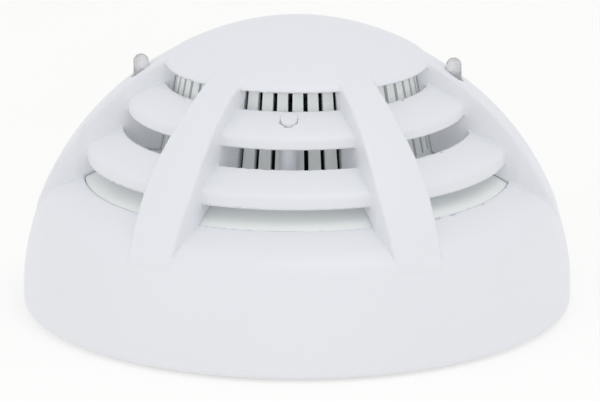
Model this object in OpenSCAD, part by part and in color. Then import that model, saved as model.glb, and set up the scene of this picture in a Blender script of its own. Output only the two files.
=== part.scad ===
// Ceiling heat detector: a louvred sensor head that twists onto a flat mounting base.
// +Z points away from the ceiling, and z = 0 is the back of the mounting base.
// The front window faces -Y, and the two indicator lamps sit on the X axis.

/* [Cover] */
// Diameter of the cover at its widest
cover_d = 100; // [98:0.5:104]
// Height of the dome's top above the mounting surface
cover_top = 52.3; // [51.9:0.1:53]
// Thickness of the cover's skirt
skirt_wall = 2; // [1.6:0.1:2.2]
// Thickness of the louvres
louvre_wall = 1.6; // [1.2:0.1:1.8]
// Number of ribs, and of windows between them
rib_count = 6; // [6]

/* [Sensor cage] */
// Number of slots round the cage
slot_count = 51; // [42, 45, 48, 51, 54]
// Width of each slot
slot_w = 0.8; // [0.6:0.05:1]

/* [Lamps] */
// Diameter of the clear indicator lamps
lamp_d = 2.8; // [2.7:0.1:2.9]
// Distance of each lamp from the centre line
lamp_x = 28.3; // [28.2:0.1:28.5]

/* [Mounting base] */
// Distance between the two fixing slots
fixing_spacing = 60; // [58:1:62]
// Width of a fixing slot
fixing_w = 4.4; // [4:0.1:5]
// Length of a fixing slot, end to end
fixing_l = 9; // [7:0.5:9]
// Diameter of the cable entry
cable_d = 32; // [28:1:34]

/* [Hidden] */
$fn = 64;
eps = 0.01;

// Outline of the dome: a superellipse above its widest ring.
cover_r = cover_d / 2;
belly_z = 3.2;
dome_h = cover_top - belly_z;
dome_power = 1.89;
rim_z = 0.4;
rim_round = 1.2;
rib_proud = 0.22;
rib_toe_z = 17.4;

// Louvre tiers, top to bottom: [inner edge radius, its height, lip radius, lip's lower edge]
tier_slope = 0.45;
tiers = [[23.65, 41.4, 30.6, 36.0], [31.4, 32.9, 38.1, 27.25]];
cap_edge = [23.85, 44.5];
lip = [38.6, 23.9];
skirt_break_z = 17.8;

// Ribs widen from the cap towards the skirt, and narrow again a little at their toes.
rib_half_top = 3.45;
rib_spread = 1.5;
rib_spread_from = 24;
rib_widest = 40;
rib_toe_taper = 0.06;
rib_head_r = 21.6;
rib_side_wall = 1.6;
boss_x = 42.8;
boss_r = 2.8;
boss_top = 20.4;
boss_angles = [90, 210, 330];

// Sensor cage: a slotted cone on a round step, and a floor that runs out to the skirt's lip.
cage_top_z = 44.4;
cage_wall = 1.3;
slot_foot = 30;
step_top = 28.6;
step_r = 33.7;
step_t = 1.2;
floor_z = 26.2;
floor_r = lip[0] - 0.1;
floor_edge = lip[1] - 0.3;
// Locating pin, which stands on the step and comes through the front upper louvre
pin_x = 25.95;
pin_r = 1.45;
pin_proud = 0.25;
pin_top = tiers[0][1] - tier_slope * (pin_x - tiers[0][0]) + pin_proud;

// Heights of the parts in the head
plate_z = 9.2;
plate_t = 2;
board_z = 13.4;
board_t = 1.6;
board_top = board_z + board_t;
ring_r = 37.2;
ring_wall = 2;
lug_top = 5.2;
lug_bottom = 3.6;
lug_r = 39.6;
lug_angle = 16;

// Heights of the parts in the mounting base
base_r = 46.6;
base_t = 2.2;
post_top = 4.2;
hook_z = 5.4;
hook_t = 1.7;
hook_r = 37.6;
hook_angle = 20;
bayonet_count = 4;
stop_angles = [-10.5, 30.5];
terminal_r = 27;
terminal_angles = [for (i = [0:3]) 45 + 90 * i];
contact_y = 11;
contact_z = 8.65;
strip_t = 0.5;
washer_t = 1;
screw_shaft_r = 1.5;

function dome_r(z) = let (h = max(0, z - belly_z) / dome_h)
    cover_r * pow(1 - pow(h, dome_power), 1 / dome_power);
function dome_z(r) = belly_z + dome_h * pow(1 - pow(max(0, r) / cover_r, dome_power), 1 / dome_power);
function dome_slope(z) = (dome_r(z + 0.01) - dome_r(z - 0.01)) / 0.02;
function cage_r(z) = 21.7 + 0.211 * (43 - z);
function curve(a, b, c, steps) = [for (i = [0:steps]) let (t = i / steps)
    (1 - t) * (1 - t) * a + 2 * t * (1 - t) * b + t * t * c];
function dome_arc(r_from, r_to, inset, steps) = [for (i = [0:steps])
    let (r = r_from + (r_to - r_from) * i / steps) [r, dome_z(r) - inset]];
function side_arc(z_from, z_to, inset, steps) = [for (i = [0:steps])
    let (z = z_from + (z_to - z_from) * i / steps) [dome_r(z) - inset, z]];
function rib_half(x) = rib_half_top - rib_toe_taper * max(0, x - rib_widest)
    + rib_spread * pow(min(1, max(0, x - rib_spread_from) / (rib_widest - rib_spread_from)), 1.3);

// ---- outer cover ----

// The lip's slope line, carried out to a radius.
function shoulder_z(r) = lip[1] - tier_slope * (r - lip[0]);

module skirt_section() {
    start = [dome_r(skirt_break_z), skirt_break_z];
    fall = dome_slope(skirt_break_z);
    // Corner where the side's tangent meets the shoulder's slope line
    corner_z = (shoulder_z(start[0]) + tier_slope * fall * start[1]) / (1 + tier_slope * fall);
    corner = [start[0] + fall * (corner_z - start[1]), corner_z];
    end_r = corner[0] - 3;
    inner_r = lip[0] + 0.5;
    polygon(concat(
        [[cover_r - rim_round - skirt_wall + 1, rim_z]],
        curve([cover_r - rim_round, rim_z], [cover_r, rim_z], [cover_r, rim_z + rim_round], 8),
        side_arc(belly_z, skirt_break_z, 0, 14),
        curve(start, corner, [end_r, shoulder_z(end_r)], 10),
        [lip, [lip[0], lip[1] - louvre_wall], [inner_r, shoulder_z(inner_r) - louvre_wall - 0.2]],
        curve([end_r - 1, shoulder_z(end_r - 1) - louvre_wall - 0.2],
              [corner[0] - 1.4, shoulder_z(corner[0] - 1.4) - louvre_wall - 0.2],
              [start[0] - skirt_wall - 0.1, start[1] - 1], 8),
        side_arc(skirt_break_z - 2, belly_z, skirt_wall, 12)));
}

module tier_section(t) {
    corner = [t[2], t[1] - tier_slope * (t[2] - t[0])];
    round = 2;
    back = [corner[0] - round, corner[1] + tier_slope * round];
    polygon(concat(
        [[t[0], t[1]]],
        curve(back, corner, [corner[0], corner[1] - 0.8], 8),
        [[t[2], t[3]], [t[2] - 1.4, t[3]], [t[2] - 1.4, corner[1] - louvre_wall + 0.45],
         [t[0], t[1] - louvre_wall - 0.1]]));
}

module cap_section() {
    wall = 1.5;
    edge = cap_edge[0];
    round = 2.1;
    polygon(concat(
        dome_arc(0, edge - round, 0, 20),
        curve([edge - round, dome_z(edge - round)], [edge - 0.25, dome_z(edge - 0.25)],
              [edge, cap_edge[1] + 0.2], 8),
        [cap_edge, [edge - 1.2, cap_edge[1]]],
        dome_arc(edge - 1.4, 0, wall, 14)));
}

module rib_section() {
    gap = 0.06;
    web_top = cap_edge[1] - 0.3;
    web_z = step_top + gap;
    web_r = step_r + gap;
    bend_r = cap_edge[0] + 1.4;
    polygon(concat(
        [[rib_head_r - 0.6, dome_z(rib_head_r - 0.6) - 0.8], [cage_r(web_top) + 2 * gap, web_top],
         [cage_r(web_z) + gap, web_z], [web_r, web_z], [web_r, floor_z + gap],
         [floor_r - 0.1, floor_edge + 0.15], [lip[0] + 1, lip[1] - 1.2],
         [dome_r(rib_toe_z) - 1.3, rib_toe_z + 1.1]],
        side_arc(rib_toe_z, dome_z(bend_r), -rib_proud, 16),
        dome_arc(bend_r - 0.4, rib_head_r, -0.13, 6)));
}

module channel_section() {
    polygon(concat(
        [[cage_r(cap_edge[1]) - 1, cap_edge[1] - 0.6], [cage_r(lip[1]) - 1, 12], [dome_r(14) - 4, 12]],
        side_arc(14, cap_edge[1] - 1.2, skirt_wall + 0.2, 16)));
}

// Plan of one rib along +X.
module rib_plan(shrink) {
    side = [for (x = [15, each [rib_spread_from:3:54]]) [x, rib_half(x) - shrink]];
    polygon(concat([for (p = side) [p[0], -p[1]]], [for (i = [len(side) - 1:-1:0]) side[i]]));
}

module each_rib() {
    for (i = [0:rib_count - 1]) rotate(360 / rib_count * i) children();
}

module cover_boss() {
    translate([boss_x, 0, plate_z + plate_t]) cylinder(r = boss_r, h = boss_top - plate_z - plate_t);
}

module outer_cover() {
    color("whitesmoke") difference() {
        union() {
            rotate_extrude() skirt_section();
            rotate_extrude() cap_section();
            for (t = tiers) rotate_extrude() tier_section(t);
            each_rib() intersection() {
                rotate_extrude() rib_section();
                linear_extrude(60) rib_plan(0);
            }
            for (a = boss_angles) rotate(a) cover_boss();
        }
        each_rib() intersection() {
            rotate_extrude() channel_section();
            linear_extrude(60) rib_plan(rib_side_wall);
        }
        for (x = [-lamp_x, lamp_x]) translate([x, 0, 36]) cylinder(r = lamp_d / 2 + 0.1, h = 14);
        translate([0, -pin_x, 36]) cylinder(r = pin_r + 0.1, h = 8);
        for (a = boss_angles) rotate(a)
            translate([boss_x, 0, plate_z]) cylinder(r = 1.3, h = 8.5);
    }
}

// ---- sensor cage, carrier and thermistor ----

module cage_section() {
    top_r = cage_r(cage_top_z);
    foot_r = 26;
    foot_in = foot_r - cage_wall;
    step_in = step_r - cage_wall;
    polygon([[0, cage_top_z + 0.8], [top_r - 0.5, cage_top_z + 0.8], [top_r, cage_top_z],
             [cage_r(step_top), step_top], [step_r - 0.6, step_top], [step_r, step_top - 0.5],
             [step_r, floor_z], [floor_r, floor_edge], [floor_r, floor_edge - step_t],
             [step_in, floor_z - step_t], [step_in, step_top - step_t], [foot_r, step_top - step_t],
             [foot_r, board_top], [foot_in, board_top], [foot_in, step_top - step_t - 0.5],
             [cage_r(step_top) - cage_wall, step_top], [top_r - cage_wall, cage_top_z],
             [0, cage_top_z]]);
}

// The pin's top follows the slope of the louvre it comes through.
module locating_pin() {
    translate([0, -pin_x, 0]) difference() {
        translate([0, 0, step_top - 0.5]) cylinder(r = pin_r, h = pin_top + 1 - step_top + 0.5);
        translate([0, 0, pin_top]) rotate([atan(tier_slope), 0, 0])
            translate([-3, -3, 0]) cube([6, 6, 4]);
    }
}

module sensor_cage() {
    color("gainsboro") locating_pin();
    color("gainsboro") difference() {
        rotate_extrude() cage_section();
        translate([0, 0, slot_foot]) linear_extrude(cage_top_z - slot_foot)
            for (i = [0:slot_count - 1]) rotate(360 / slot_count * i - 90)
                translate([15, -slot_w / 2]) square([15, slot_w]);
        for (x = [-lamp_x, lamp_x]) translate([x, 0, step_top - 2]) cylinder(r = 2.1, h = 4);
    }
}

module sensor_carrier() {
    color("dimgray") difference() {
        union() {
            translate([0, 0, board_top]) cylinder(r1 = 11.6, r2 = 9.6, h = 24);
            translate([0, 0, board_top]) cylinder(r = 14, h = 1.4);
        }
        translate([0, 0, board_top - eps]) cylinder(r1 = 10, r2 = 8, h = 22);
        translate([0, 0, 30]) cylinder(r = 1.8, h = 12);
        for (a = [0:60:300]) rotate(a + 30) translate([3.5, -1, 36]) cube([4.5, 2, 4]);
    }
}

module thermistor_bead() {
    color("darkslategray") translate([0, 0, 41.4]) {
        sphere(r = 1.3);
        translate([0, 0, -1.7]) cylinder(r1 = 0.7, r2 = 1.15, h = 1.2);
    }
}

module thermistor_leads() {
    color("silver") for (x = [-0.4, 0.4])
        translate([x, 0, board_top]) cylinder(r = 0.2, h = 39.7 - board_top, $fn = 24);
}

// ---- lamps ----

module led(x) {
    body_r = lamp_d / 2;
    dome_z0 = 45.65 - body_r;
    color("aliceblue", 0.5) translate([x, 0, 0]) {
        translate([0, 0, dome_z0]) sphere(r = body_r);
        translate([0, 0, 38.6]) cylinder(r = body_r, h = dome_z0 - 38.6);
        translate([0, 0, 37.8]) cylinder(r = 1.75, h = 0.8);
    }
}

module led_spacers() {
    color("black") for (x = [-lamp_x, lamp_x]) translate([x, 0, board_top]) difference() {
        cylinder(r = 1.9, h = 37.8 - board_top);
        for (y = [-1, 1]) translate([0, y, -1]) cylinder(r = 0.4, h = 40, $fn = 24);
    }
}

module led_leads() {
    color("silver") for (x = [-lamp_x, lamp_x], y = [-1, 1])
        translate([x - 0.25, y - 0.25, board_top]) cube([0.5, 0.5, 37.8 - board_top]);
}

// ---- circuit board ----

module circuit_board() {
    color("darkgreen") difference() {
        translate([0, 0, board_z]) cylinder(r = 38, h = board_t);
        for (a = boss_angles) rotate(a) translate([33, 0, board_z - 1]) cylinder(r = 1.6, h = 4);
        translate([-9, 33.5, board_z - 1]) cube([18, 6, 4]);
    }
}

module microcontroller() {
    color("black") translate([-4, -34, board_top]) cube([8, 6, 1.5]);
    color("silver") for (s = [-1, 1], i = [0:5])
        translate([-3.4 + i * 1.27, -31 + s * 3.6 - 0.6, board_top]) cube([0.45, 1.2, 0.6]);
}

module capacitor() {
    color("navy") translate([-16, -27, board_top]) cylinder(r = 3.15, h = 6.6);
    color("silver") translate([-16, -27, board_top + 6.6]) cylinder(r = 2.7, h = 0.3);
}

module surge_diodes() {
    color("black") for (a = [52, 74, 106, 128])
        rotate(a) translate([31, -1.4, board_top]) cube([4.5, 2.8, 2.1]);
}

module chip_resistors() {
    // Each row is [angle of its first resistor, how many stand in it].
    rows = [[-70, 5], [14, 4], [156, 3], [182, 3]];
    color("black") for (row = rows, i = [0:row[1] - 1])
        rotate(row[0] + 8 * i) translate([32, -0.6, board_top]) cube([2, 1.25, 0.6]);
}

// ---- bottom of the head ----

module at_terminals() {
    for (a = terminal_angles) rotate(a) translate([terminal_r, 0, 0]) children();
}

module ring_sector(r_in, r_out, angle, z, h) {
    translate([0, 0, z]) rotate(-angle / 2)
        rotate_extrude(angle = angle) translate([r_in, 0]) square([r_out - r_in, h]);
}

module head_base() {
    plate_r = 46.8;
    color("whitesmoke") difference() {
        union() {
            translate([0, 0, plate_z]) cylinder(r = plate_r, h = plate_t);
            translate([0, 0, lug_bottom]) cylinder(r = ring_r, h = plate_z - lug_bottom);
            for (i = [0:bayonet_count - 1]) rotate(90 * i)
                ring_sector(ring_r - 0.5, lug_r, lug_angle, lug_bottom, lug_top - lug_bottom);
            for (a = boss_angles) rotate(a)
                translate([33, 0, plate_z]) cylinder(r = 2.6, h = board_z - plate_z);
            for (a = boss_angles) rotate(a)
                translate([33, 0, plate_z]) cylinder(r = 1.5, h = board_top + 0.6 - plate_z);
        }
        translate([0, 0, lug_bottom - 1]) cylinder(r = ring_r - ring_wall, h = plate_z - lug_bottom + 1);
        for (a = boss_angles) rotate(a) translate([boss_x, 0, plate_z - 1]) {
            cylinder(r = 1.5, h = plate_t + 2);
            cylinder(r = 2.8, h = 2.2);
        }
        at_terminals() translate([0, contact_y, plate_z - 1]) cylinder(r = 1.15, h = plate_t + 2);
    }
}

module contact_blades() {
    color("gold") at_terminals() difference() {
        translate([-3, contact_y - 2.5, contact_z]) cube([6, 5, plate_z - contact_z]);
        translate([0, contact_y, contact_z - 1]) cylinder(r = 1.15, h = 3);
    }
}

module contact_rivets() {
    color("silver") at_terminals() translate([0, contact_y, 0]) {
        translate([0, 0, contact_z]) cylinder(r = 1.1, h = board_z - contact_z);
        translate([0, 0, plate_z + plate_t]) cylinder(r = 1.8, h = 0.6);
    }
}

module cover_screws() {
    color("silver") for (a = boss_angles) rotate(a) translate([boss_x, 0, 0]) difference() {
        union() {
            translate([0, 0, plate_z + 0.1]) cylinder(r = 2.6, h = 1.1);
            translate([0, 0, plate_z + 1]) cylinder(r = 1.25, h = 7);
        }
        for (q = [0, 90]) rotate(q) translate([-1.5, -0.3, plate_z]) cube([3, 0.6, 0.7]);
    }
}

// ---- mounting base ----

module fixing_slot() {
    r = fixing_w / 2;
    reach = fixing_l / 2 - r;
    translate([0, 0, -1]) {
        for (s = [-1, 1]) translate([s * reach, 0, 0]) cylinder(r = r, h = base_t + 2);
        translate([-reach, -r, 0]) cube([2 * reach, fixing_w, base_t + 2]);
    }
}

module mounting_base() {
    wall_in = 41.2;
    wall_out = 43.4;
    wall_top = hook_z + hook_t + 0.3;
    color("whitesmoke") difference() {
        union() {
            difference() {
                cylinder(r = base_r, h = base_t);
                translate([0, 0, -1]) cylinder(r = cable_d / 2, h = base_t + 2);
                for (s = [-1, 1]) translate([s * fixing_spacing / 2, 0, 0]) fixing_slot();
            }
            translate([0, 0, base_t - 0.5]) difference() {
                cylinder(r = wall_out, h = wall_top - base_t + 0.5);
                translate([0, 0, -1]) cylinder(r = wall_in, h = wall_top + 2);
            }
            for (i = [0:bayonet_count - 1]) rotate(90 * i) {
                ring_sector(hook_r, wall_in + 0.5, hook_angle, hook_z, hook_t);
                for (a = stop_angles) rotate(a)
                    ring_sector(hook_r + 0.4, wall_in + 0.8, 3, base_t - 0.5, hook_z - base_t + 1.4);
            }
            at_terminals() translate([-4.5, -4.5, base_t - 0.5]) cube([9, 9, post_top - base_t + 0.5]);
        }
        at_terminals() translate([0, 0, 1]) cylinder(r = screw_shaft_r + 0.05, h = 8);
    }
}

module terminal_springs() {
    arm = [[-4, post_top], [4, post_top], [9.2, contact_z - 0.05 - strip_t], [13, contact_z - 0.05 - strip_t],
           [13, contact_z - 0.05], [9, contact_z - 0.05], [3.8, post_top + strip_t], [-4, post_top + strip_t]];
    color("goldenrod") at_terminals() difference() {
        translate([-3, 0, 0]) rotate([90, 0, 90]) linear_extrude(6) polygon(arm);
        translate([0, 0, post_top - 1]) cylinder(r = 1.7, h = 3);
    }
}

module clamp_plate(i) {
    color("silver") rotate(terminal_angles[i - 1])
        translate([terminal_r, 0, post_top + strip_t]) difference() {
        translate([-3.3, -3.3, 0]) cube([6.6, 6.6, washer_t]);
        translate([0, 0, -1]) cylinder(r = 1.7, h = 4);
    }
}

module terminal_screw(i) {
    seat = post_top + strip_t + washer_t;
    color("silver") rotate(terminal_angles[i - 1]) translate([terminal_r, 0, 0]) difference() {
        union() {
            translate([0, 0, 1.2]) cylinder(r = screw_shaft_r, h = seat - 1);
            translate([0, 0, seat]) cylinder(r = 2.9, h = 1.9);
        }
        translate([-3.5, -0.4, seat + 1]) cube([7, 0.8, 2]);
        translate([-0.4, -2, seat + 0.9]) cube([0.8, 4, 2]);
    }
}

mounting_base();
terminal_springs();
for (i = [1:4]) clamp_plate(i);
for (i = [1:4]) terminal_screw(i);
head_base();
contact_blades();
contact_rivets();
cover_screws();
circuit_board();
microcontroller();
capacitor();
surge_diodes();
chip_resistors();
sensor_cage();
sensor_carrier();
thermistor_bead();
thermistor_leads();
led_spacers();
led_leads();
led(-lamp_x);  // led_left
led(lamp_x);  // led_right
outer_cover();
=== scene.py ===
"""Looks of the ceiling heat detector: its moulded cover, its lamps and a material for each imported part."""

import math

import bmesh
import bpy
import numpy as np
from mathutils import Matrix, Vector


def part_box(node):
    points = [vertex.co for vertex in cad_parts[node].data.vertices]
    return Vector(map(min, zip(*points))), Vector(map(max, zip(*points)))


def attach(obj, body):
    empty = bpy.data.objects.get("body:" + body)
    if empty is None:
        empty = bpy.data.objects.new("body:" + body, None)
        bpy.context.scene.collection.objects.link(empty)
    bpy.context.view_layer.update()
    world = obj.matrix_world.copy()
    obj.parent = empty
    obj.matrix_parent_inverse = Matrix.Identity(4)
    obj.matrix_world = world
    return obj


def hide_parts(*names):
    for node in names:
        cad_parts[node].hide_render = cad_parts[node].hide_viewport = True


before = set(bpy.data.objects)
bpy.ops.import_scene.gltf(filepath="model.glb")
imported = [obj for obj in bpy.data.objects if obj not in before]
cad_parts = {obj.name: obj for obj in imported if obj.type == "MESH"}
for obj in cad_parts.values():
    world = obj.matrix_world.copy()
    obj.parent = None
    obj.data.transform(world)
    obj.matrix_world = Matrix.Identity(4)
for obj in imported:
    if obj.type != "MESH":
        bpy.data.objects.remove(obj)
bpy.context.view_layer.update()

MM = 0.001

# The object's sizes are in millimetres until its meshes are made, and the setting's are in metres.
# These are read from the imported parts.
cover_low, cover_high = (np.array(corner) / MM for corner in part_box("outer_cover"))
lamp_low, lamp_high = (np.array(corner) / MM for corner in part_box("led_right"))
COVER_R = cover_high[0]
COVER_TOP = cover_high[2]
RIM_Z = cover_low[2]
LAMP_X = (lamp_low[0] + lamp_high[0]) / 2
LAMP_TOP = lamp_high[2]
LAMP_FOOT = lamp_low[2]

# The dome above its widest ring, the skirt below it and their walls
BELLY_Z = 3.2
DOME_H = COVER_TOP - BELLY_Z
DOME_POWER = 1.89
SKIRT_BREAK_Z = 17.8
SKIRT_WALL = 2.0
RIM_ROUND = 1.2

# The cap's edge and the skirt's lip, each a radius and a height
CAP_EDGE = (23.85, 44.5)
LIP = (38.6, 23.9)

# The louvres, each the radius and height of its inner edge, then of its lip
TIERS = ((23.65, 41.4, 30.6, 36.0), (31.4, 32.9, 38.1, 27.25))
TIER_SLOPE = 0.45
LOUVRE_WALL = 1.6

# The ribs, which widen on their way down and narrow again at the toe
RIB_COUNT = 6
RIB_HALF_TOP = 3.45
RIB_SPREAD = 1.5
RIB_SPREAD_POWER = 1.3
RIB_SPREAD_FROM = 24
RIB_WIDEST = 40
RIB_TOE_TAPER = 0.06
RIB_HEAD_R = 21.6
RIB_TOE_Z = 17.4
RIB_PROUD = 0.22
RIB_HEAD_PROUD = 0.13
RIB_SIDE_WALL = 1.6

# The cage behind the ribs: its cone, the round step at the cone's foot and the sloping floor
CAGE_R = 21.7
CAGE_TOP = 43
CAGE_SLOPE = 0.211
STEP_TOP = 28.6
STEP_R = 33.7
FLOOR_Z = 26.2

# The pin and the lamps, with the room round each in its hole
PIN_X = 25.95
PIN_R = 1.45
PIN_GAP = 0.05
# height above which the pin is painted in the cover's colour with its painted glow instead of the cage's
# painted lighter colour
PIN_TINT_Z = 31
LAMP_R = 1.4
LAMP_GAP = 0.15
HOLE_FOOT = 36

# The bosses for the cover's screws
BOSS_X = 42.8
BOSS_R = 2.8
BOSS_TOP = 20.4
BOSS_FOOT = 11.2
BOSS_HOLE_R = 1.3
BOSS_ROOF = 2.5
BOSS_ANGLES = (90, 210, 330)

# How far the cover's edges and inner corners are rounded
RIB_EDGE = 0.45
RIB_FILLET = 0.25
CHANNEL_CORNER = 0.5
CHANNEL_EDGE = 0.3
BOSS_FILLET = 0.5
BOSS_EDGE = 0.3
LAMP_HOLE_EDGE = 0.3
SMALL_HOLE_EDGE = 0.1

CLAMP_COUNT = 4

COVER_COLOR = (0.72, 0.73, 0.765)
COVER_PAINTED_GLOW = 0.1  # painted glow: emission that stands in for light seeping through the thin plastic
# painted light: the cage's white plastic, painted lighter than the cover to lift its slats out of the shade
# under the louvres
CAGE_COLOR_WITH_PAINTED_LIGHT = (0.90, 0.93, 0.92)
FINE_BUMP = 0.01 * MM
FINE_GRAIN = 2600


# ---- distance fields for the moulded cover ----


def dome_r(z):
    """The dome's radius at a height. Its outline is a superellipse."""
    height = np.maximum(0, z - BELLY_Z) / DOME_H
    return COVER_R * (1 - height**DOME_POWER) ** (1 / DOME_POWER)


def dome_z(r):
    return BELLY_Z + DOME_H * (1 - (np.maximum(0, r) / COVER_R) ** DOME_POWER) ** (1 / DOME_POWER)


def shoulder_z(r):
    return LIP[1] - TIER_SLOPE * (r - LIP[0])


def cage_r(z):
    return CAGE_R + CAGE_SLOPE * (CAGE_TOP - z)


def rib_half(along):
    share = np.clip((along - RIB_SPREAD_FROM) / (RIB_WIDEST - RIB_SPREAD_FROM), 0, 1)
    taper = RIB_TOE_TAPER * np.maximum(0, along - RIB_WIDEST)
    return RIB_HALF_TOP + RIB_SPREAD * share**RIB_SPREAD_POWER - taper


def dome_arc(r_from, r_to, inset, steps):
    """Points along the dome, evenly spaced in radius, each moved down by the inset."""
    r = np.linspace(r_from, r_to, steps + 1)
    return np.column_stack([r, dome_z(r) - inset])


def side_arc(z_from, z_to, inset, steps):
    """Points along the dome, evenly spaced in height, each moved inwards by the inset."""
    z = np.linspace(z_from, z_to, steps + 1)
    return np.column_stack([dome_r(z) - inset, z])


def curve(start, middle, end, steps):
    """Points along a quadratic Bezier curve."""
    t = np.linspace(0, 1, steps + 1)[:, None]
    start, middle, end = map(np.array, (start, middle, end))
    return (1 - t) ** 2 * start + 2 * t * (1 - t) * middle + t**2 * end


def skirt_outline():
    """From the rim up the outside, over the shoulder to the lip, and back down the inside."""
    # The corner is where the dome's tangent at the break meets the shoulder.
    near = 0.01
    start = np.array([dome_r(SKIRT_BREAK_Z), SKIRT_BREAK_Z])
    fall = (dome_r(SKIRT_BREAK_Z + near) - dome_r(SKIRT_BREAK_Z - near)) / (2 * near)
    corner_z = (shoulder_z(start[0]) + TIER_SLOPE * fall * start[1]) / (1 + TIER_SLOPE * fall)
    corner = (start[0] + fall * (corner_z - start[1]), corner_z)
    end_r = corner[0] - 3
    wall = LOUVRE_WALL + 0.2

    def below(r):
        return r, shoulder_z(r) - wall

    return np.vstack([
        [(COVER_R - SKIRT_WALL - 0.2, RIM_Z)],
        curve((COVER_R - RIM_ROUND, RIM_Z), (COVER_R, RIM_Z), (COVER_R, RIM_Z + RIM_ROUND), 8),
        side_arc(BELLY_Z, SKIRT_BREAK_Z, 0, 24),
        curve(start, corner, (end_r, shoulder_z(end_r)), 14),
        [LIP, (LIP[0], LIP[1] - LOUVRE_WALL), below(LIP[0] + 0.5)],
        curve(below(end_r - 1), below(corner[0] - 1.4), (start[0] - SKIRT_WALL - 0.1, start[1] - 1), 10),
        side_arc(SKIRT_BREAK_Z - 2, BELLY_Z, SKIRT_WALL, 16),
    ])


def tier_outline(inner_r, inner_z, lip_r, lip_z):
    """A louvre: a sloping ring whose outer edge bends down into a lip."""
    bend = 2
    bend_drop = 0.8
    lip_wall = 1.4
    wall_at_lip = LOUVRE_WALL - 0.45
    wall_at_root = LOUVRE_WALL + 0.1
    edge_z = inner_z - TIER_SLOPE * (lip_r - inner_r)
    return np.vstack([
        [(inner_r, inner_z)],
        curve((lip_r - bend, edge_z + TIER_SLOPE * bend), (lip_r, edge_z), (lip_r, edge_z - bend_drop), 10),
        [(lip_r, lip_z), (lip_r - lip_wall, lip_z), (lip_r - lip_wall, edge_z - wall_at_lip)],
        [(inner_r, inner_z - wall_at_root)],
    ])


def cap_outline():
    """The dome's top, which bends down at its edge. It starts past the axis, so no corner lies on it."""
    past_axis = -4
    wall = 1.5
    edge_wall = 1.2
    edge_r, edge_z = CAP_EDGE
    bend_r = edge_r - 2.1
    corner_r = edge_r - 0.25
    return np.vstack([
        [(past_axis, dome_z(0)), (past_axis, dome_z(0) - wall)],
        dome_arc(0, edge_r - 1.4, wall, 20),
        [(edge_r - edge_wall, edge_z), (edge_r, edge_z)],
        curve((edge_r, edge_z + 0.2), (corner_r, dome_z(corner_r)), (bend_r, dome_z(bend_r)), 12),
        dome_arc(bend_r - 0.5, 0, 0, 40),
    ])


def rib_outline():
    """A rib from the side: down the cage, over its step to the lip and the toe, then up the outside."""
    gap = 0.06
    top_z = CAP_EDGE[1] - 0.3
    step_z = STEP_TOP + gap
    step_r = STEP_R + gap
    head_r = RIB_HEAD_R - 0.6
    bend_r = CAP_EDGE[0] + 1.4
    return np.vstack([
        [(head_r, dome_z(head_r) - 0.8), (cage_r(top_z) + 2 * gap, top_z)],
        [(cage_r(step_z) + gap, step_z), (step_r, step_z), (step_r, FLOOR_Z + gap)],
        [(LIP[0] - 0.2, LIP[1] - 0.15), (LIP[0] + 1, LIP[1] - 1.2)],
        [(dome_r(RIB_TOE_Z) - 1.3, RIB_TOE_Z + 1.1)],
        side_arc(RIB_TOE_Z, dome_z(bend_r), -RIB_PROUD, 30),
        dome_arc(bend_r - 0.4, RIB_HEAD_R, -RIB_HEAD_PROUD, 8),
    ])


def channel_outline():
    """The hollow along the inside of each rib."""
    foot_z = 12
    outer_foot_z = 14
    return np.vstack([
        [(cage_r(CAP_EDGE[1]) - 1, CAP_EDGE[1] - 0.6), (cage_r(LIP[1]) - 1, foot_z)],
        [(dome_r(outer_foot_z) - 4, foot_z)],
        side_arc(outer_foot_z, CAP_EDGE[1] - 1.2, SKIRT_WALL + 0.2, 24),
    ])


def outline_distance(points, r, z):
    """Signed distance from each (r, z) to a closed outline, negative inside it."""
    nearest = np.full(r.shape, np.inf)
    inside = np.zeros(r.shape, bool)
    for a, b in zip(np.roll(points, 1, axis=0), points):
        edge = b - a
        length_2 = edge @ edge
        if length_2 == 0:
            continue
        t = np.clip(((r - a[0]) * edge[0] + (z - a[1]) * edge[1]) / length_2, 0, 1)
        nearest = np.minimum(nearest, (r - a[0] - t * edge[0]) ** 2 + (z - a[1] - t * edge[1]) ** 2)
        spans = (a[1] > z) != (b[1] > z)
        if edge[1] != 0:
            inside ^= spans & (r < a[0] + (z - a[1]) / edge[1] * edge[0])
    return np.where(inside, -1, 1) * np.sqrt(nearest)


def softened(grid, width):
    """Averages a grid over width samples along both axes, which rounds an outline's corners."""
    half = width // 2
    for axis in (0, 1):
        padded = np.pad(grid, [(width, width) if a == axis else (0, 0) for a in (0, 1)], mode="edge")
        total = np.cumsum(padded, axis=axis)
        length = grid.shape[axis]
        upper = np.take(total, range(width + half, width + half + length), axis=axis)
        lower = np.take(total, range(half, half + length), axis=axis)
        grid = (upper - lower) / width
    return grid


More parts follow.
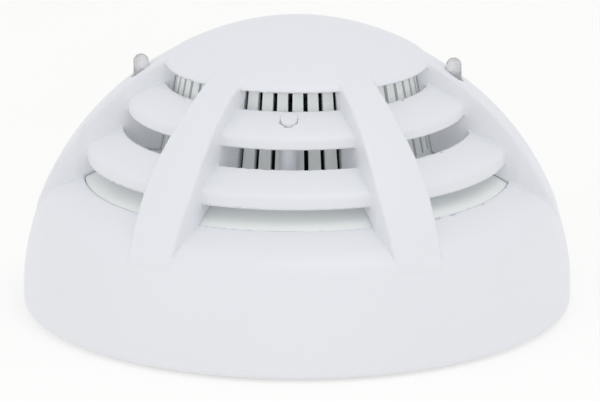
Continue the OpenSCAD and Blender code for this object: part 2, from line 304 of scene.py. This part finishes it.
class Outline:
    """The distance field of turned outlines, sampled once on a fine grid of radius and height."""

    STEP = 0.1
    LOW = (-1.5, -2.0)
    HIGH = (53.0, 56.0)
    SOFTEN_WIDTH = 3
    SOFTEN_PASSES = 2
    LAST_CELL = 1.001  # keeps a sample just inside the grid's last cell

    def __init__(self, *outlines):
        r, z = (np.arange(low, high, self.STEP) for low, high in zip(self.LOW, self.HIGH))
        r, z = np.meshgrid(r, z, indexing="ij")
        grid = np.minimum.reduce([outline_distance(points, r, z) for points in outlines])
        for _ in range(self.SOFTEN_PASSES):
            grid = softened(grid, self.SOFTEN_WIDTH)
        self.grid = grid.astype(np.float32)

    def __call__(self, r, z):
        u = np.clip((r - self.LOW[0]) / self.STEP, 0, self.grid.shape[0] - self.LAST_CELL)
        v = np.clip((z - self.LOW[1]) / self.STEP, 0, self.grid.shape[1] - self.LAST_CELL)
        i, j = u.astype(np.int32), v.astype(np.int32)
        u, v = u - i, v - j
        near = self.grid[i, j] * (1 - v) + self.grid[i, j + 1] * v
        far = self.grid[i + 1, j] * (1 - v) + self.grid[i + 1, j + 1] * v
        return near * (1 - u) + far * u


def joined(a, b, blend):
    """Union of two fields, with a fillet where they meet."""
    near = np.maximum(blend - np.abs(a - b), 0) / blend
    return np.minimum(a, b) - near**2 * blend / 4


def common(a, b, blend):
    """Intersection of two fields, with a rounded edge where they meet."""
    return -joined(-a, -b, blend)


TURNED = Outline(skirt_outline(), cap_outline(), *(tier_outline(*t) for t in TIERS))
RIB = Outline(rib_outline())
CHANNEL = Outline(channel_outline())


def hole_up(off_axis, z, radius):
    """A round hole that runs up from HOLE_FOOT and out through the top."""
    return np.maximum(off_axis - radius, HOLE_FOOT - z)


def cover_distance(x, y, z):
    """Signed distance from each point to the moulded cover."""
    r = np.hypot(x, y)
    pitch = 2 * math.pi / RIB_COUNT
    turn = np.arctan2(y, x)
    turn = turn - pitch * np.round(turn / pitch)
    along, across = r * np.cos(turn), np.abs(r * np.sin(turn))
    half = rib_half(along)
    cover = joined(TURNED(r, z), common(RIB(r, z), across - half, RIB_EDGE), RIB_FILLET)
    channel = common(CHANNEL(r, z), across - half + RIB_SIDE_WALL, CHANNEL_CORNER)
    cover = common(cover, -channel, CHANNEL_EDGE)
    for angle in map(math.radians, BOSS_ANGLES):
        off_boss = np.hypot(x - BOSS_X * math.cos(angle), y - BOSS_X * math.sin(angle))
        boss = common(off_boss - BOSS_R, np.maximum(z - BOSS_TOP, BOSS_FOOT - z), BOSS_EDGE)
        cover = joined(cover, boss, BOSS_FILLET)
        boss_hole = np.maximum(off_boss - BOSS_HOLE_R, z - (BOSS_TOP - BOSS_ROOF))
        cover = common(cover, -boss_hole, SMALL_HOLE_EDGE)
    for lamp_x in (-LAMP_X, LAMP_X):
        lamp_hole = hole_up(np.hypot(x - lamp_x, y), z, LAMP_R + LAMP_GAP)
        cover = common(cover, -lamp_hole, LAMP_HOLE_EDGE)
    pin_hole = hole_up(np.hypot(x, y + PIN_X), z, PIN_R + PIN_GAP)
    return common(cover, -pin_hole, SMALL_HOLE_EDGE)


# ---- from a field to a mesh ----


# Parts of a grid's axis
BELOW, ABOVE, INNER = slice(0, -1), slice(1, None), slice(1, -1)


def along_axis(axis, part, rest=slice(None)):
    """An index into a grid in three dimensions: part along one axis, rest along the other two."""
    index = [rest] * 3
    index[axis] = part
    return tuple(index)


def crossed_cells(field):
    """The cells that the surface crosses, and the middle of the crossings on each one's edges, in cells."""
    cells = tuple(n - 1 for n in field.shape)
    total = np.zeros(cells + (3,), np.float32)
    count = np.zeros(cells, np.int8)
    for axis in range(3):
        a, b = field[along_axis(axis, BELOW)], field[along_axis(axis, ABOVE)]
        crossed = (a < 0) != (b < 0)
        share = np.where(crossed, a / np.where(crossed, a - b, 1), 0)
        others = [k for k in range(3) if k != axis]
        for shift in ((0, 0), (0, 1), (1, 0), (1, 1)):
            part = [slice(None)] * 3
            for k, s in zip(others, shift):
                part[k] = slice(s, s + cells[k])
            hit = crossed[tuple(part)]
            count += hit
            total[..., axis] += share[tuple(part)]
            for k, s in zip(others, shift):
                total[..., k] += s * hit
    used = count > 0
    return used, np.argwhere(used) + total[used] / count[used][:, None]


def quads_between(inside, index):
    """A quad across each grid edge that crosses the surface, from the four cells round that edge."""
    quads = []
    for axis in range(3):
        u, v = (axis + 1) % 3, (axis + 2) % 3
        a, b = inside[along_axis(axis, BELOW, INNER)], inside[along_axis(axis, ABOVE, INNER)]
        place = np.argwhere(a != b)
        outward = a[a != b]
        place[:, u] += 1
        place[:, v] += 1
        ring = []
        for du, dv in ((0, 0), (-1, 0), (-1, -1), (0, -1)):
            at = place.copy()
            at[:, u] += du
            at[:, v] += dv
            ring.append(index[tuple(at.T)])
        ring = np.column_stack(ring)
        ring[~outward] = ring[~outward][:, ::-1]
        quads.append(ring)
    return np.vstack(quads)


def slope_of(distance, points):
    """The field's value and gradient at each point."""
    value = distance(*points.T)
    reach = 0.06
    slope = np.empty_like(points)
    for axis in range(3):
        step = np.zeros(3)
        step[axis] = reach
        slope[:, axis] = (distance(*(points + step).T) - distance(*(points - step).T)) / (2 * reach)
    return value, slope


def settled(distance, points, longest_step):
    """Moves each point down the field's slope onto its surface."""
    passes = 4
    least_slope_2 = 0.2
    for _ in range(passes):
        value, slope = slope_of(distance, points)
        step = value[:, None] * slope / np.maximum((slope**2).sum(axis=1), least_slope_2)[:, None]
        points = points - np.clip(step, -longest_step, longest_step)
    return points


def surface_of(distance, low, high, cell):
    """Vertices, quads and normals of the field's zero surface, one vertex to a crossed cell."""
    axes = [np.arange(a, b + cell, cell, dtype=np.float32) for a, b in zip(low, high)]
    field = np.stack([distance(*np.meshgrid([x], axes[1], axes[2], indexing="ij"))[0] for x in axes[0]])
    used, place = crossed_cells(field)
    index = np.full(used.shape, -1, np.int64)
    index[used] = np.arange(used.sum())
    points = settled(distance, place * cell + np.array(low), cell / 3)
    slope = slope_of(distance, points)[1]
    normals = slope / np.linalg.norm(slope, axis=1)[:, None]
    return points, quads_between(field < 0, index), normals


def add_object(name, mesh, body, slot, material, *stands_for):
    """Adds a piece that rides on a body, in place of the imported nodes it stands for, if any."""
    piece = bpy.data.objects.new(name, mesh)
    bpy.context.collection.objects.link(piece)
    piece.data.materials.append(material)
    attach(piece, body)
    if stands_for:
        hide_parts(*stands_for)


def moulded_cover(material):
    """The cover's surface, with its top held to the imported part's height."""
    cell = 0.5
    margin = 0.8
    low = (-COVER_R - margin, -COVER_R - margin, RIM_Z - margin)
    high = (COVER_R + margin, COVER_R + margin, COVER_TOP + margin)
    points, quads, normals = surface_of(cover_distance, low, high, cell)
    points[:, 2] = np.minimum(points[:, 2], COVER_TOP)
    mesh = bpy.data.meshes.new("cover_shell")
    mesh.from_pydata((points * MM).tolist(), [], quads.tolist())
    mesh.shade_smooth()
    mesh.normals_split_custom_set_from_vertices(normals.tolist())
    add_object("cover_shell", mesh, "head", "cover_plastic", material, "outer_cover")


# ---- lamps ----


def turned_mesh(name, profile, segments):
    """A closed solid of revolution from (radius, height) points that start and end on the axis."""
    made = bmesh.new()
    rings = []
    for r, z in profile:
        turns = [2 * math.pi * i / segments for i in range(segments if r else 1)]
        rings.append([made.verts.new((r * math.cos(t), r * math.sin(t), z)) for t in turns])
    for lower, upper in zip(rings, rings[1:]):
        for i in range(segments):
            j = (i + 1) % segments
            ends = ((lower, i), (lower, j), (upper, j), (upper, i))
            corners = [ring[k % len(ring)] for ring, k in ends]
            made.faces.new(list(dict.fromkeys(corners)))  # a triangle where a ring is one vertex
    mesh = bpy.data.meshes.new(name)
    made.normal_update()
    made.to_mesh(mesh)
    made.free()
    return mesh


def placed(mesh, x, z=0.0):
    """Moves a mesh made in millimetres to its place, in metres."""
    for vertex in mesh.vertices:
        vertex.co = (vertex.co + Vector((x, 0, z))) * MM
    return mesh


def lens_profile():
    """A lamp's lens: a flange with softened edges, the barrel and the round top."""
    flange_r = 1.75
    flange_top = LAMP_FOOT + 0.8
    bead = 0.06
    centre_z = LAMP_TOP - LAMP_R
    flange = [(0, LAMP_FOOT), (flange_r - bead, LAMP_FOOT), (flange_r, LAMP_FOOT + bead),
              (flange_r, flange_top - bead), (flange_r - bead, flange_top)]
    barrel = [(LAMP_R + 0.1, flange_top), (LAMP_R, flange_top + 0.15), (LAMP_R, centre_z)]
    dome = [(LAMP_R * math.cos(t), centre_z + LAMP_R * math.sin(t)) for t in np.radians(range(8, 90, 8))]
    return flange + barrel + dome + [(0, LAMP_TOP)]


def leadframe_mesh(name):
    """The anvil with its cup and the post beside it, which show inside a lamp."""
    half_thick = 0.2
    bevel = 0.04
    anvil = [(0.25, 0), (0.75, 0), (0.75, 2.6), (0.9, 3.4), (0.9, 4.1), (0.55, 4.1), (0.4, 3.85),
             (0.05, 3.85), (-0.1, 4.1), (-0.3, 4.1), (-0.3, 3.5), (0.25, 2.9)]
    post = [(-0.85, 0), (-0.5, 0), (-0.5, 3.3), (-0.45, 4.1), (-0.75, 4.1), (-0.85, 3.3)]
    made = bmesh.new()
    for outline in (anvil, post):
        near, far = ([made.verts.new((x, y, z)) for y, z in outline] for x in (-half_thick, half_thick))
        made.faces.new(near[::-1])
        made.faces.new(far)
        for i in range(len(outline)):
            j = (i + 1) % len(outline)
            made.faces.new([near[i], near[j], far[j], far[i]])
    bmesh.ops.recalc_face_normals(made, faces=made.faces)
    bmesh.ops.bevel(made, geom=made.edges[:], offset=bevel, segments=1, affect="EDGES")
    mesh = bpy.data.meshes.new(name)
    made.to_mesh(mesh)
    made.free()
    return mesh


def lamp(side, x, epoxy, wire):
    """A lamp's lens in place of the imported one, with the metal that shows inside it."""
    lens = turned_mesh(f"lamp_lens_{side}", lens_profile(), 48)
    lens.shade_smooth()
    add_object(f"lamp_lens_{side}", placed(lens, x), "head", "clear_lens", epoxy, f"led_{side}")
    inner = placed(leadframe_mesh(f"lamp_frame_{side}"), x, LAMP_FOOT + 0.1)
    add_object(f"lamp_frame_{side}", inner, "head", "tinned_wire", wire)


# ---- materials ----


class Nodes:
    """A material's node tree, with short calls for what the materials below share."""

    def __init__(self, name):
        self.material = bpy.data.materials.new(name)
        self.material.use_nodes = True
        self.tree = self.material.node_tree
        self.shader = self.tree.nodes["Principled BSDF"]
        self.place = self.tree.nodes.new("ShaderNodeTexCoord").outputs["Object"]

    def add(self, kind, **settings):
        node = self.tree.nodes.new(kind)
        for key, value in settings.items():
            setattr(node, key, value)
        return node

    def link(self, output, target):
        self.tree.links.new(output, target)

    def noise(self, scale, detail, stretch=None):
        """Noise over the piece, drawn out along an axis where stretch is given."""
        node = self.add("ShaderNodeTexNoise")
        node.inputs["Scale"].default_value = scale
        node.inputs["Detail"].default_value = detail
        place = self.place
        if stretch:
            mapping = self.add("ShaderNodeMapping")
            mapping.inputs["Scale"].default_value = stretch
            self.link(place, mapping.inputs["Vector"])
            place = mapping.outputs["Vector"]
        self.link(place, node.inputs["Vector"])
        return node.outputs["Fac"]

    def ramp(self, factor, low, high, span=(0.3, 0.7)):
        """The colour that the factor gives between two colours, over the span of its values."""
        node = self.add("ShaderNodeValToRGB")
        for element, position, color in zip(node.color_ramp.elements, span, (low, high)):
            element.position = position
            element.color = (*color, 1)
        self.link(factor, node.inputs["Fac"])
        return node.outputs["Color"]

    def between(self, factor, low, high):
        """The factor, spread from low to high."""
        node = self.add("ShaderNodeMapRange")
        node.inputs["To Min"].default_value = low
        node.inputs["To Max"].default_value = high
        self.link(factor, node.inputs["Value"])
        return node.outputs["Result"]

    def passes(self, value, test, limit):
        """1 where the value is GREATER_THAN or LESS_THAN the limit, and 0 elsewhere."""
        node = self.add("ShaderNodeMath", operation=test)
        node.inputs[1].default_value = limit
        self.link(value, node.inputs[0])
        return node.outputs["Value"]

    def bump(self, height, depth, strength):
        node = self.add("ShaderNodeBump")
        node.inputs["Distance"].default_value = depth
        node.inputs["Strength"].default_value = strength
        self.link(height, node.inputs["Height"])
        self.link(node.outputs["Normal"], self.shader.inputs["Normal"])

    def set(self, **values):
        """Sets the shader's inputs by name, with a low line for each space."""
        for key, value in values.items():
            self.shader.inputs[key.replace("_", " ")].default_value = value


def moulded_finish(nodes, roughness, grain=FINE_GRAIN):
    """Uneven gloss and a fine spark-eroded grain, as a mould leaves them."""
    gloss = nodes.between(nodes.noise(scale=90, detail=5), roughness - 0.05, roughness + 0.07)
    nodes.link(gloss, nodes.shader.inputs["Roughness"])
    nodes.bump(nodes.noise(scale=grain, detail=2), FINE_BUMP, strength=0.35)
    nodes.set(IOR=1.5)


def drifting_color(nodes, color, drift=0.02):
    """A colour that drifts slowly over the piece to a slightly darker one."""
    dark = tuple(c * (1 - drift) for c in color)
    return nodes.ramp(nodes.noise(scale=35, detail=3), dark, color)


def moulded_plastic(name, color, roughness, grain=FINE_GRAIN):
    nodes = Nodes(name)
    nodes.link(drifting_color(nodes, color), nodes.shader.inputs["Base Color"])
    moulded_finish(nodes, roughness, grain)
    return nodes.material


def cover_plastic():
    """The cover's plastic, with a painted glow (a faint emission) standing in for the little light that
    seeps through the thin plastic.
    """
    nodes = Nodes("cover_plastic")
    nodes.link(drifting_color(nodes, COVER_COLOR, drift=0.012), nodes.shader.inputs["Base Color"])
    moulded_finish(nodes, 0.42)
    # painted glow: a faint emission in the cover's own colour, though the cover is no lamp
    nodes.set(Emission_Color=(*COVER_COLOR, 1), Emission_Strength=COVER_PAINTED_GLOW)
    return nodes.material


def cage_plastic():
    """The cage's plastic, painted lighter than the cover to lift it out of the shade under the louvres
    (painted light); the locating pin's part of it gets the cover's colour with the cover's painted glow.
    """
    nodes = Nodes("cage_plastic")
    axes = nodes.add("ShaderNodeSeparateXYZ")
    nodes.link(nodes.place, axes.inputs["Vector"])
    pin_back = -(PIN_X - PIN_R - 0.1)
    on_pin = nodes.add("ShaderNodeMath", operation="MULTIPLY")
    nodes.link(nodes.passes(axes.outputs["Z"], "GREATER_THAN", PIN_TINT_Z * MM), on_pin.inputs[0])
    nodes.link(nodes.passes(axes.outputs["Y"], "LESS_THAN", pin_back * MM), on_pin.inputs[1])
    # the pin gets the cover's colour raised by the cover's painted glow; the rest of the cage gets the
    # cage's painted lighter colour
    mix = nodes.add("ShaderNodeMixRGB")
    mix.inputs["Color2"].default_value = (*(c * (1 + COVER_PAINTED_GLOW) for c in COVER_COLOR), 1)
    nodes.link(on_pin.outputs["Value"], mix.inputs["Fac"])
    nodes.link(drifting_color(nodes, CAGE_COLOR_WITH_PAINTED_LIGHT), mix.inputs["Color1"])
    nodes.link(mix.outputs["Color"], nodes.shader.inputs["Base Color"])
    moulded_finish(nodes, 0.46)
    return nodes.material


def metal(name, color, roughness, stretch=(1, 1, 8)):
    """Rolled or plated metal: fine drawn lines, tarnish in patches."""
    nodes = Nodes(name)
    dull = tuple(c * 0.82 for c in color)
    nodes.link(nodes.ramp(nodes.noise(scale=240, detail=4), dull, color), nodes.shader.inputs["Base Color"])
    lines = nodes.noise(scale=900, detail=3, stretch=stretch)
    nodes.link(nodes.between(lines, roughness - 0.08, roughness + 0.12), nodes.shader.inputs["Roughness"])
    nodes.bump(lines, FINE_BUMP, strength=0.25)
    nodes.set(Metallic=1.0)
    return nodes.material


def diffused_epoxy(name):
    """Epoxy with a little white diffuser in it: light passes, and what is inside blurs."""
    nodes = Nodes(name)
    cloud = nodes.ramp(nodes.noise(scale=300, detail=3), (0.82, 0.82, 0.83), (0.89, 0.89, 0.90))
    nodes.link(cloud, nodes.shader.inputs["Base Color"])
    gloss = nodes.between(nodes.noise(scale=500, detail=3), 0.16, 0.26)
    nodes.link(gloss, nodes.shader.inputs["Roughness"])
    nodes.bump(nodes.noise(scale=400, detail=2), 2 * FINE_BUMP, strength=0.1)
    nodes.set(Transmission_Weight=0.7, IOR=1.45)
    return nodes.material


def board_laminate(name):
    """Green solder mask over a board's woven laminate."""
    nodes = Nodes(name)
    thick, thin = (0.012, 0.11, 0.045), (0.02, 0.17, 0.07)
    mask = nodes.ramp(nodes.noise(scale=120, detail=2), thick, thin, span=(0.4, 0.6))
    nodes.link(mask, nodes.shader.inputs["Base Color"])
    weave = nodes.noise(scale=1500, detail=2, stretch=(1, 6, 1))
    nodes.link(nodes.between(weave, 0.22, 0.4), nodes.shader.inputs["Roughness"])
    nodes.bump(weave, FINE_BUMP, strength=0.3)
    return nodes.material


def finish_parts(tinned):
    """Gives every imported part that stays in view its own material."""
    base = moulded_plastic("base_plastic", (0.80, 0.81, 0.82), 0.5)
    # painted shade: the sensor carrier is made near-black so that the gaps between the cage's slats read
    # dark
    carrier_painted_shade = moulded_plastic("carrier_plastic", (0.02, 0.02, 0.022), 0.5)
    chip = moulded_plastic("chip_plastic", (0.02, 0.02, 0.02), 0.55, grain=4000)
    sleeve = moulded_plastic("capacitor_sleeve", (0.02, 0.03, 0.09), 0.3)
    bead = moulded_plastic("bead_glass", (0.02, 0.02, 0.025), 0.12)
    plated = metal("plated_steel", (0.66, 0.67, 0.66), 0.34)
    strip = metal("spring_strip", (0.74, 0.58, 0.32), 0.3, (8, 1, 1))
    contact = metal("contact_brass", (0.78, 0.62, 0.34), 0.26)
    looks = {
        "mounting_base": base, "head_base": base, "led_spacers": base, "sensor_cage": cage_plastic(),
        "sensor_carrier": carrier_painted_shade, "microcontroller": chip, "surge_diodes": chip, "chip_resistors": chip,
        "capacitor": sleeve, "thermistor_bead": bead, "contact_rivets": plated, "cover_screws": plated,
        "thermistor_leads": tinned, "led_leads": tinned, "terminal_springs": strip,
        "contact_blades": contact, "circuit_board": board_laminate("board_laminate"),
    }
    for i in range(1, CLAMP_COUNT + 1):
        looks[f"clamp_plate_{i}"] = plated
        looks[f"terminal_screw_{i}"] = plated
    for node, material in looks.items():
        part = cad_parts[node]
        part.data.materials.clear()
        part.data.materials.append(material)


# ---- setting ----


def see_through_from_below(nodes):
    """Leaves the floor's underside clear, so that the mounting base shows from below."""
    mix = nodes.add("ShaderNodeMixShader")
    nodes.link(nodes.add("ShaderNodeNewGeometry").outputs["Backfacing"], mix.inputs[0])
    nodes.link(nodes.shader.outputs["BSDF"], mix.inputs[1])
    nodes.link(nodes.add("ShaderNodeBsdfTransparent").outputs["BSDF"], mix.inputs[2])
    nodes.link(mix.outputs["Shader"], nodes.tree.nodes["Material Output"].inputs["Surface"])


def studio_floor():
    """A wide pale floor, a hair under the base's back so that the two faces don't coincide."""
    half_width = 3.0
    drop = 0.3 * MM
    made = bmesh.new()
    bmesh.ops.create_grid(made, x_segments=8, y_segments=8, size=half_width)
    mesh = bpy.data.meshes.new("floor")
    made.to_mesh(mesh)
    made.free()
    floor = bpy.data.objects.new("floor", mesh)
    floor.location.z = -drop
    bpy.context.collection.objects.link(floor)
    nodes = Nodes("floor_paper")
    paper = nodes.ramp(nodes.noise(scale=6, detail=2), (0.44, 0.44, 0.435), (0.46, 0.46, 0.455))
    nodes.link(paper, nodes.shader.inputs["Base Color"])
    nodes.set(Roughness=0.9, Emission_Color=(1, 1, 0.98, 1), Emission_Strength=0.53)
    see_through_from_below(nodes)
    floor.data.materials.append(nodes.material)


def area_light(name, place, size, power):
    """A soft round light that faces the middle of the object."""
    data = bpy.data.lights.new(name, "AREA")
    data.shape = "DISK"
    data.size = size
    data.energy = power
    light = bpy.data.objects.new(name, data)
    bpy.context.collection.objects.link(light)
    light.location = place
    target = Vector((0, 0, COVER_TOP * MM / 2))
    light.rotation_euler = (target - Vector(place)).to_track_quat("-Z", "Y").to_euler()


def studio_light():
    world = bpy.data.worlds.new("studio")
    bpy.context.scene.world = world
    world.use_nodes = True
    background = world.node_tree.nodes["Background"]
    background.inputs["Color"].default_value = (0.98, 0.99, 1.0, 1)
    background.inputs["Strength"].default_value = 0.84
    area_light("key", (0.3, -0.5, 1.2), size=0.8, power=2.4)
    area_light("fill", (-0.7, -0.7, 0.3), size=0.6, power=0.45)


def photographer():
    """The camera stands 15 degrees above the object, a little to the right of its front window."""
    distance = 0.728
    azimuth, elevation = math.radians(3.2), math.radians(15.2)
    back = Vector((math.sin(azimuth) * math.cos(elevation), -math.cos(azimuth) * math.cos(elevation),
                   math.sin(elevation)))
    middle = Vector((0, 0, 0.0243))
    aim = Vector((0.0006, -0.0015, 0.0189))
    data = bpy.data.cameras.new("camera")
    data.sensor_width = 36
    data.lens = 240
    data.clip_start = 0.01
    data.clip_end = 50
    camera = bpy.data.objects.new("camera", data)
    bpy.context.collection.objects.link(camera)
    camera.location = middle + distance * back
    camera.rotation_euler = (aim - camera.location).to_track_quat("-Z", "Y").to_euler()
    bpy.context.scene.camera = camera


photographer()
studio_light()
studio_floor()
tinned_wire = metal("tinned_wire", (0.72, 0.72, 0.72), 0.28)
lens_epoxy = diffused_epoxy("lens_epoxy")
finish_parts(tinned_wire)
moulded_cover(cover_plastic())
lamp("left", -LAMP_X, lens_epoxy, tinned_wire)
lamp("right", LAMP_X, lens_epoxy, tinned_wire)
bpy.context.scene.view_settings.view_transform = "Standard"
